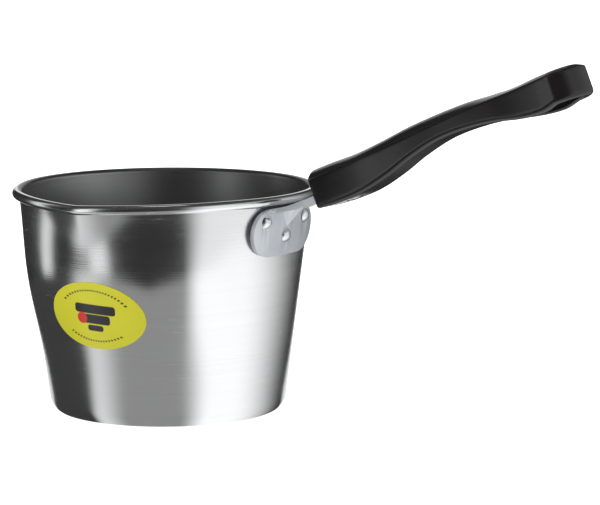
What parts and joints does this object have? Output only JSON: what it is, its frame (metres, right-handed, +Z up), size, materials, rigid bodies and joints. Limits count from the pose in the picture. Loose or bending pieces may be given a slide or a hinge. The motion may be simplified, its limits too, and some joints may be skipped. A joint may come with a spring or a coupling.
{
  "type": "milk pan",
  "caption": "Small deep aluminium milk pan with a flared conical wall, rolled rim and side pouring lip, a riveted bracket and a long moulded handle with a hanging hole.",
  "frame": {"origin": "centre of the flat base, on the surface that the pan stands on", "axes": "+Z up, +X towards the handle, the pouring lip on the -Y side"},
  "size_m": [0.2985, 0.148, 0.1739],
  "materials": {
    "pan_aluminium": "spun and polished",
    "bracket_steel": "zinc plated, satin",
    "rivet_aluminium": "bright",
    "handle_plastic": "semi-gloss moulded",
    "screw_steel": "bright",
    "label_paper": "glossy printed sticker"
  },
  "bodies": {
    "root": {"pan_body": "pan_aluminium", "handle_bracket": "bracket_steel", "rivet_left": "rivet_aluminium", "rivet_right": "rivet_aluminium", "rivet_lower": "rivet_aluminium", "handle_grip": "handle_plastic", "handle_screw": "screw_steel", "label_sticker": "label_paper"}
  },
  "joints": []
}
